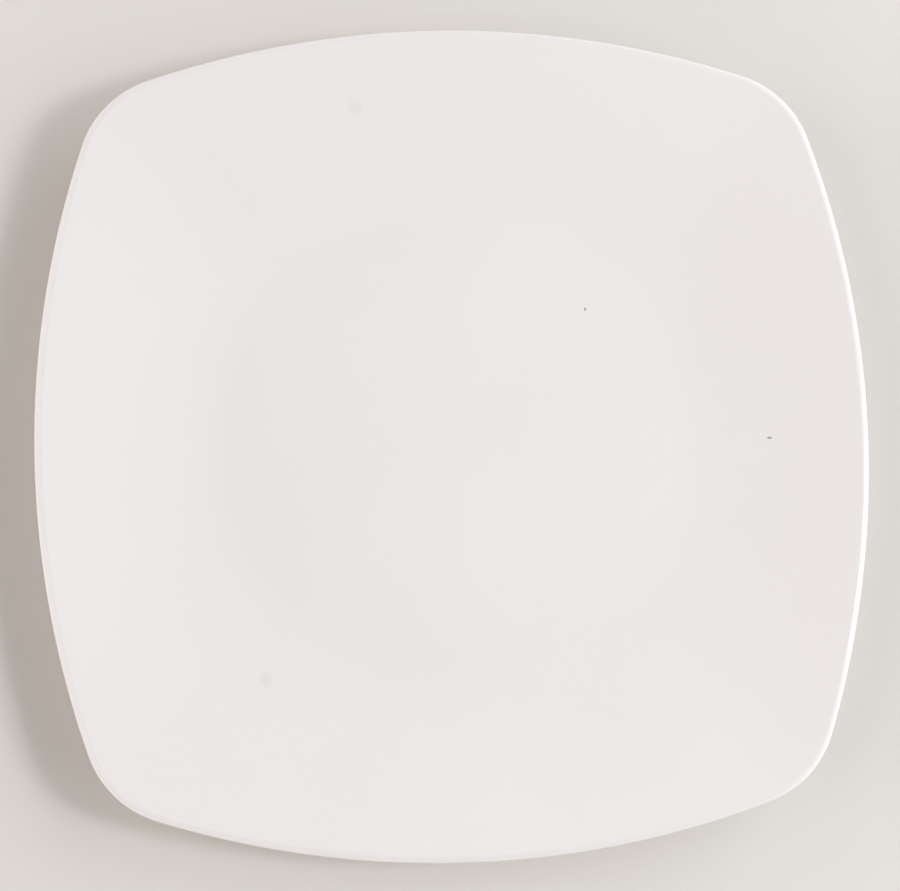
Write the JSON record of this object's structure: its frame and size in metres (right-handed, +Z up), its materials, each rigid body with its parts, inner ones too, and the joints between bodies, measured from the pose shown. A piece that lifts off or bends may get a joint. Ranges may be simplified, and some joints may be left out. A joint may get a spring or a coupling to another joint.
{
  "type": "salad plate",
  "caption": "Soft-square white coupe salad plate with a round shallow well, bowed sides, rounded corners and rim, and a round foot ring left bare where it stands.",
  "frame": {"origin": "The middle of the plate, on the surface that its foot ring stands on.", "axes": "+Z is up, through the middle of the well. +X and +Y point to the middles of two neighbouring sides."},
  "size_m": [0.21, 0.21, 0.0173],
  "materials": {
    "fired_clay": "bare fired clay, fine and matt",
    "white_glaze": "glossy white glaze",
    "foot_glaze": "glossy white glaze"
  },
  "bodies": {
    "root": {"clay_body": "fired_clay", "glaze_coat": "white_glaze", "foot_well_glaze": "foot_glaze"}
  },
  "joints": []
}
